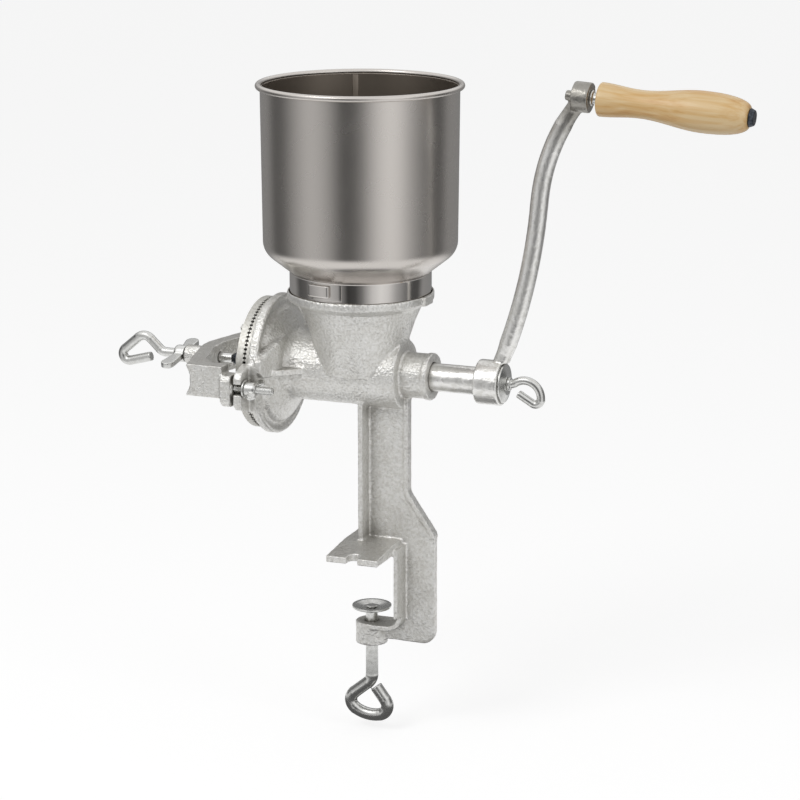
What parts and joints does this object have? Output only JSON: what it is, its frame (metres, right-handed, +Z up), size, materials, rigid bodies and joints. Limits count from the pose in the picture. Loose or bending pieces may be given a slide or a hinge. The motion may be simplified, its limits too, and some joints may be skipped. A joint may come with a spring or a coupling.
{
  "type": "malt mill",
  "caption": "Hand-cranked cast-iron malt mill with a tin hopper, feed screw, adjustable burr plates, S-shaped crank with a wooden grip, and a table clamp.",
  "frame": {"origin": "where the clamp screw's axis meets the table top, which is the underside of the foot plate", "axes": "+Z up, +X along the grinding shaft towards the crank, -Y towards the viewer of the picture"},
  "size_m": [0.4798, 0.1478, 0.4839],
  "materials": {
    "tinned_iron": "sand-cast iron with a satin hot-tinned coat",
    "tin_sheet": "satin tin-plated sheet",
    "polished_sheet": "polished tin-plated sheet",
    "burr_iron": "hard cast iron with cut furrows, tinned",
    "zinc_steel": "bright zinc-plated steel",
    "dark_steel": "plain dark steel",
    "beech": "turned pale beech under clear varnish"
  },
  "bodies": {
    "frame": {"mill_body": "tinned_iron", "fixed_grinding_plate": "burr_iron", "fixed_plate_pins": "dark_steel", "adjusting_yoke": "tinned_iron", "stud_near": "zinc_steel", "stud_far": "zinc_steel"},
    "hopper": {"hopper_bowl": "tin_sheet", "hopper_collar": "polished_sheet"},
    "thrust": {"thrust_ball": "dark_steel"},
    "rotor": {"drive_shaft": "tinned_iron", "feed_screw": "tinned_iron", "drive_pin": "dark_steel", "plate_carrier": "tinned_iron", "carrier_rivets": "dark_steel", "rotating_grinding_plate": "burr_iron", "crank_arm": "tinned_iron", "crank_pin": "dark_steel"},
    "grip": {"wooden_grip": "beech"},
    "crank_dish": {"crank_washer": "zinc_steel"},
    "crank_thumb": {"crank_screw": "zinc_steel"},
    "adjuster": {"adjusting_screw": "zinc_steel"},
    "lock_nut": {"lock_wing_nut": "zinc_steel"},
    "near_washer": {"washer_near": "zinc_steel"},
    "near_nut": {"wing_nut_near": "zinc_steel"},
    "far_washer": {"washer_far": "zinc_steel"},
    "far_nut": {"wing_nut_far": "zinc_steel"},
    "clamp_shoe": {"clamp_pad": "zinc_steel"},
    "clamp_thumb": {"clamp_screw": "zinc_steel"}
  },
  "joints": [
    {"name": "hopper_lift", "type": "slide", "parent": "frame", "child": "hopper", "axis": [0, 0, 1], "range_m": [0, 0.04]},
    {"name": "gap_slide", "type": "slide", "parent": "frame", "child": "thrust", "axis": [1, 0, 0], "range_m": [-0.004, 0.0004]},
    {"name": "crank_spin", "type": "hinge", "parent": "thrust", "child": "rotor", "pos_m": [0, 0, 0.131], "axis": [1, 0, 0], "continuous": true},
    {"name": "grip_spin", "type": "hinge", "parent": "rotor", "child": "grip", "pos_m": [0.15604, 0, 0.33703], "axis": [0.9978, 0, -0.0663], "continuous": true},
    {"name": "crank_dish_slide", "type": "slide", "parent": "rotor", "child": "crank_dish", "axis": [1, 0, 0], "range_m": [0, 0.0081]},
    {"name": "crank_screw_turn", "type": "hinge", "parent": "crank_dish", "child": "crank_thumb", "pos_m": [0, 0, 0.131], "axis": [1, 0, 0], "range_deg": [0, 2880]},
    {"name": "adjuster_turn", "type": "hinge", "parent": "thrust", "child": "adjuster", "pos_m": [0, 0, 0.131], "axis": [1, 0, 0], "range_deg": [-1153, 116]},
    {"name": "lock_nut_turn", "type": "hinge", "parent": "adjuster", "child": "lock_nut", "pos_m": [0, 0, 0.131], "axis": [1, 0, 0], "range_deg": [-180, 0]},
    {"name": "near_washer_slide", "type": "slide", "parent": "frame", "child": "near_washer", "axis": [1, 0, 0], "range_m": [0, 0.0091]},
    {"name": "near_nut_turn", "type": "hinge", "parent": "near_washer", "child": "near_nut", "pos_m": [-0.07, -0.06, 0.125], "axis": [1, 0, 0], "range_deg": [0, 3240]},
    {"name": "far_washer_slide", "type": "slide", "parent": "frame", "child": "far_washer", "axis": [1, 0, 0], "range_m": [0, 0.0091]},
    {"name": "far_nut_turn", "type": "hinge", "parent": "far_washer", "child": "far_nut", "pos_m": [-0.07, 0.06, 0.125], "axis": [1, 0, 0], "range_deg": [0, 3240]},
    {"name": "clamp_slide", "type": "slide", "parent": "frame", "child": "clamp_shoe", "axis": [0, 0, 1], "range_m": [-0.0061, 0.0241]},
    {"name": "clamp_turn", "type": "hinge", "parent": "clamp_shoe", "child": "clamp_thumb", "pos_m": [0, 0, -0.06], "axis": [0, 0, 1], "range_deg": [-1440, 5760]}
  ],
  "couplings": [
    {"joint": "adjuster_turn", "follows": "gap_slide", "rad_per_m": 5026.5},
    {"joint": "crank_dish_slide", "follows": "crank_screw_turn", "m_per_rad": 0.00015915},
    {"joint": "near_washer_slide", "follows": "near_nut_turn", "m_per_rad": 0.00015915},
    {"joint": "far_washer_slide", "follows": "far_nut_turn", "m_per_rad": 0.00015915},
    {"joint": "clamp_slide", "follows": "clamp_turn", "m_per_rad": 0.00023873}
  ]
}
